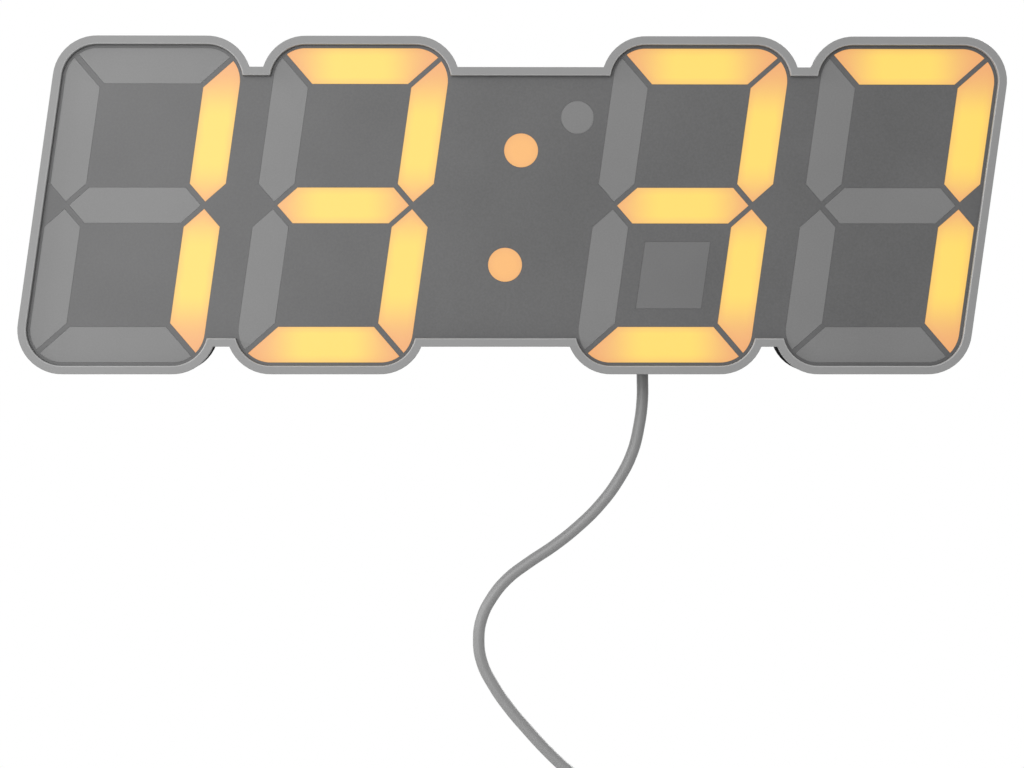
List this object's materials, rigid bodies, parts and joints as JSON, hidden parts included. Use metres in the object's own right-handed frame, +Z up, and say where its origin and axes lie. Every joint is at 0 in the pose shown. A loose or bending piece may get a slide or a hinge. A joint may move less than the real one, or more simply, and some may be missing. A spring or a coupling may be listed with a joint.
{
  "type": "led wall clock",
  "caption": "Slanted LED digit wall clock with a recessed grey face, amber seven-segment digits, rear set buttons, a backup cell cover and a thin power cord.",
  "frame": {"origin": "on the wall plane, midway between the mouths of the two keyholes in the back", "axes": "+X to the right seen from the front, +Y from the face to the wall, +Z up"},
  "size_m": [0.2902, 0.027, 0.2876],
  "materials": {
    "bezel_grey": "fine matt moulding",
    "face_grey": "satin printed sheet",
    "lit_opal": "glowing opal",
    "lit_dots": "glowing opal",
    "dark_opal": "satin opal, unlit",
    "sensor_smoke": "satin smoked window",
    "reflector_white": "matt white",
    "board_green": "solder mask",
    "led_ivory": "moulded",
    "chip_black": "moulded",
    "tin_can": "plain metal",
    "shell_black": "fine spark texture",
    "button_grey": "soft moulded",
    "screw_steel": "zinc plated",
    "gland_rubber": "moulded",
    "cord_grey": "extruded jacket",
    "tie_fabric": "woven strap",
    "plug_plastic": "overmoulded",
    "plug_steel": "nickel plated"
  },
  "bodies": {
    "case": {"front_bezel": "bezel_grey", "front_housing": "shell_black", "face_frame": "bezel_grey", "face_panel": "face_grey", "digit_1_lit": "lit_opal", "digit_1_dark": "dark_opal", "digit_2_lit": "lit_opal", "digit_2_dark": "dark_opal", "digit_3_lit": "lit_opal", "digit_3_dark": "dark_opal", "digit_4_lit": "lit_opal", "digit_4_dark": "dark_opal", "colon_dots": "lit_dots", "degree_dot": "dark_opal", "sensor_window": "sensor_smoke", "light_box": "reflector_white", "led_board": "board_green", "leds": "led_ivory", "light_sensor": "chip_black", "controller_chip": "chip_black", "clock_crystal": "tin_can", "cell_holder": "chip_black", "coin_cell": "tin_can", "tact_switches": "chip_black", "rear_cover": "shell_black", "cover_screws": "screw_steel", "board_screws": "screw_steel", "cord_gland": "gland_rubber", "inner_lead": "cord_grey", "lead_connector": "led_ivory", "cord_lead": "cord_grey", "cord_coil": "cord_grey", "cord_tail": "cord_grey", "cord_tie": "tie_fabric", "plug_grip": "plug_plastic", "plug_shell": "plug_steel", "plug_tongue": "reflector_white"},
    "set_key": {"set_button": "button_grey", "set_plunger": "chip_black"},
    "up_key": {"up_button": "button_grey", "up_plunger": "chip_black"},
    "down_key": {"down_button": "button_grey", "down_plunger": "chip_black"},
    "battery_door": {"battery_cover": "shell_black"}
  },
  "joints": [
    {"name": "set_press", "type": "slide", "parent": "case", "child": "set_key", "axis": [0, -1, 0], "range_m": [0, 0.0005], "stiffness_N_per_m": 1500},
    {"name": "up_press", "type": "slide", "parent": "case", "child": "up_key", "axis": [0, -1, 0], "range_m": [0, 0.0005], "stiffness_N_per_m": 1500},
    {"name": "down_press", "type": "slide", "parent": "case", "child": "down_key", "axis": [0, -1, 0], "range_m": [0, 0.0005], "stiffness_N_per_m": 1500},
    {"name": "battery_turn", "type": "hinge", "parent": "case", "child": "battery_door", "pos_m": [0.05, -0.001, -0.02], "axis": [0, 1, 0], "range_deg": [0, 45]}
  ]
}
